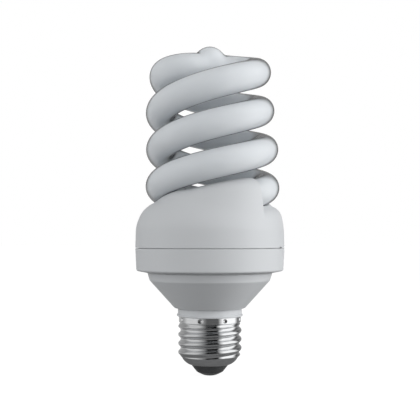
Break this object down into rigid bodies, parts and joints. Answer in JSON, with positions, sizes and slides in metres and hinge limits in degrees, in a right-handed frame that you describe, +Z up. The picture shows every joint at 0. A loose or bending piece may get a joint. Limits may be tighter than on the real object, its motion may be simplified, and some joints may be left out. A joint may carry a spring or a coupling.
{
  "type": "compact fluorescent light bulb",
  "caption": "Spiral compact fluorescent light bulb: a glass double-spiral tube on a white plastic ballast housing with a screw cap.",
  "frame": {"origin": "lowest point of the centre contact, on the axis of the screw cap", "axes": "+Z up along the lamp's axis, from the centre contact to the tip of the tube; -Y towards the side with the front hood, which faces the viewer"},
  "size_m": [0.0616, 0.0616, 0.1363],
  "materials": {
    "tube_glass": "gloss",
    "white_plastic": "satin",
    "nickel_plate": "polished",
    "black_glass": "gloss",
    "contact_metal": "satin",
    "white_cement": "matt",
    "board_laminate": "matt",
    "tinned_metal": "satin",
    "ferrite": "matt",
    "bobbin_plastic": "matt",
    "enamelled_copper": "satin",
    "film_green": "gloss",
    "film_red": "gloss",
    "capacitor_sleeve": "gloss",
    "epoxy_black": "matt",
    "diac_glass": "gloss",
    "resistor_body": "matt",
    "fuse_sleeve": "matt",
    "wire_insulation": "matt"
  },
  "bodies": {
    "root": {"spiral_tube": "tube_glass", "tube_cover": "white_plastic", "ballast_housing": "white_plastic", "screw_shell": "nickel_plate", "cap_insulator": "black_glass", "centre_contact": "contact_metal", "front_tube_cement": "white_cement", "rear_tube_cement": "white_cement", "circuit_board": "board_laminate", "lead_posts": "tinned_metal", "choke_core": "ferrite", "choke_bobbin": "bobbin_plastic", "choke_winding": "enamelled_copper", "drive_toroid": "ferrite", "toroid_windings": "enamelled_copper", "resonance_capacitor": "film_green", "coupling_capacitor": "film_red", "filter_choke_core": "ferrite", "filter_choke_winding": "enamelled_copper", "smoothing_capacitor": "capacitor_sleeve", "diac": "diac_glass", "fusible_resistor": "fuse_sleeve", "live_wire": "wire_insulation", "neutral_wire": "wire_insulation", "transistor_1": "epoxy_black", "transistor_2": "epoxy_black", "rectifier_diode_1": "epoxy_black", "resistor_1": "resistor_body", "tube_lead_1": "tinned_metal", "rectifier_diode_2": "epoxy_black", "resistor_2": "resistor_body", "tube_lead_2": "tinned_metal", "rectifier_diode_3": "epoxy_black", "resistor_3": "resistor_body", "tube_lead_3": "tinned_metal", "rectifier_diode_4": "epoxy_black", "resistor_4": "resistor_body", "tube_lead_4": "tinned_metal"}
  },
  "joints": []
}
